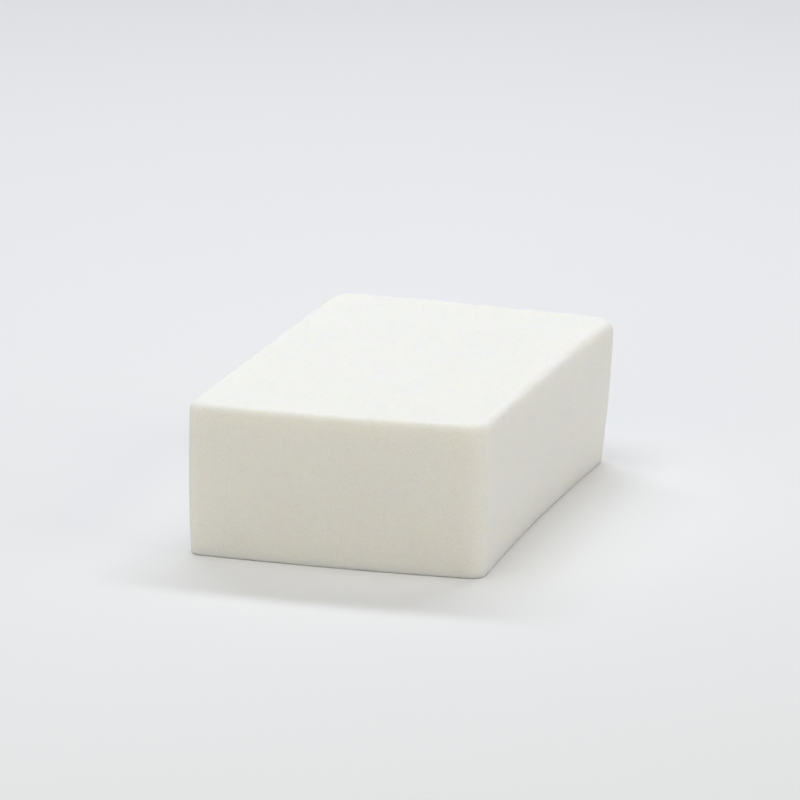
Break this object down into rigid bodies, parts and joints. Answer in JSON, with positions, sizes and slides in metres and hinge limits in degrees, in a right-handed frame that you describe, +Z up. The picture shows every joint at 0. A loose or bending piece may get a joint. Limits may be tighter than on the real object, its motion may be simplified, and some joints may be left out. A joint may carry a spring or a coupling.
{
  "type": "floral foam brick",
  "caption": "Plain rectangular brick of off-white dry floral foam with rounded upright corners and softened long edges, for holding cut stems.",
  "frame": {"origin": "centre of the face that the brick lies on", "axes": "+X across the short front end, +Y along the length away from the front end, +Z up from the face it lies on"},
  "size_m": [0.102, 0.152, 0.051],
  "materials": {
    "foam": "matte off-white rigid foam with a fine closed skin"
  },
  "bodies": {
    "root": {"foam_brick": "foam"}
  },
  "joints": []
}
